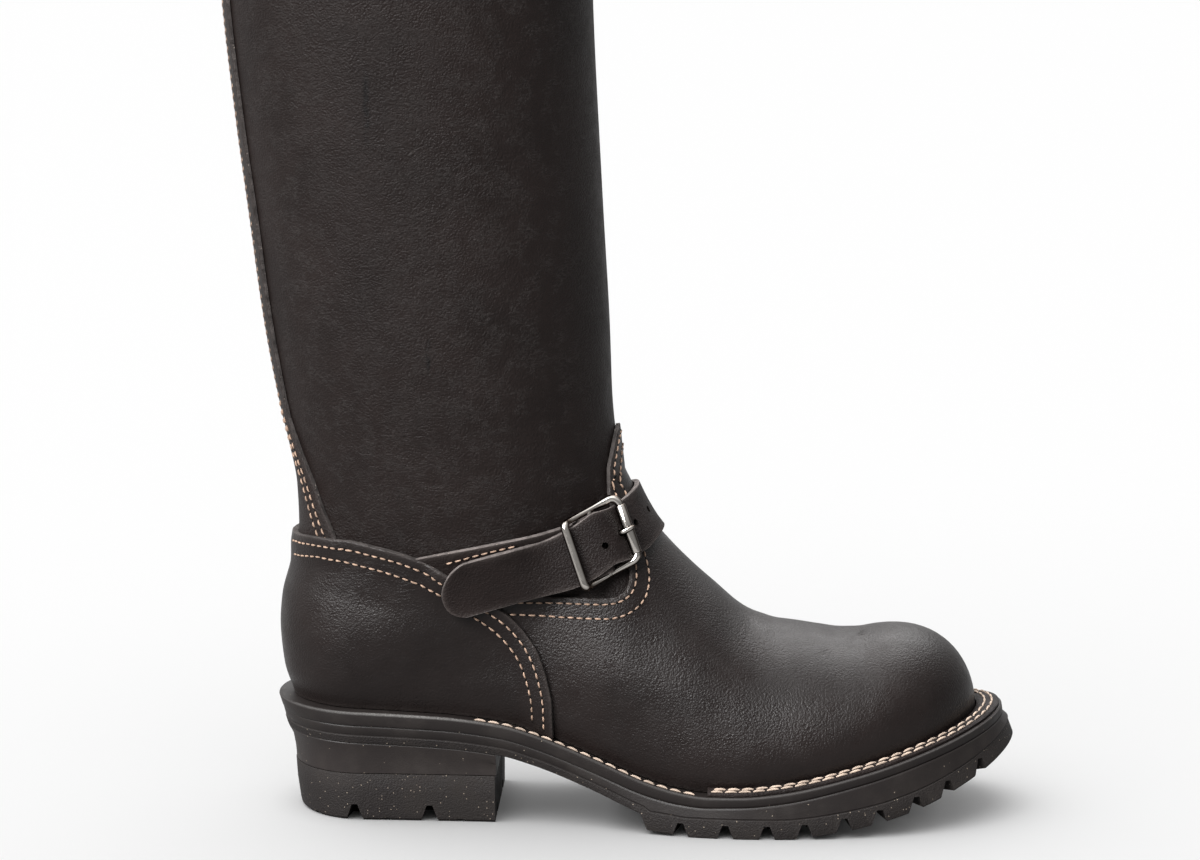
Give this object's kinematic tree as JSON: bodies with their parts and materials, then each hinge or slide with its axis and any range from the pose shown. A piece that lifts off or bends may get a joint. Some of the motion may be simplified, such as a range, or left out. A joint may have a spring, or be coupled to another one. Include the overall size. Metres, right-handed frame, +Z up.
{
  "type": "over-the-knee boot",
  "caption": "Right over-the-knee leather boot with a tall shaft, a buckled instep strap, a stitched heel counter and vamp, and a lugged rubber sole with a block heel.",
  "frame": {"origin": "middle of the heel's tread, on the floor", "axes": "+X from heel to toe, +Y to the inner side of the right foot, +Z up along the shaft"},
  "size_m": [0.348, 0.132, 0.61],
  "materials": {
    "shaft_leather": "oiled, satin, dark brown",
    "foot_leather": "oiled, worn, soft gloss",
    "strap_leather": "oiled, satin, lighter cut edges",
    "insole_leather": "matt tan",
    "welt_leather": "satin, dark",
    "buckle_metal": "nickel plate, bright",
    "sole_rubber": "matt black, dusty"
  },
  "bodies": {
    "root": {"upper": "shaft_leather", "vamp": "foot_leather", "counter": "foot_leather", "back_stay": "shaft_leather", "instep_strap": "strap_leather", "buckle_strap": "strap_leather", "buckle_frame": "buckle_metal", "buckle_roller": "buckle_metal", "buckle_prong": "buckle_metal", "insole": "insole_leather", "welt": "welt_leather", "midsole": "sole_rubber", "outsole": "sole_rubber", "heel_base": "sole_rubber", "heel_cap": "sole_rubber"}
  },
  "joints": []
}
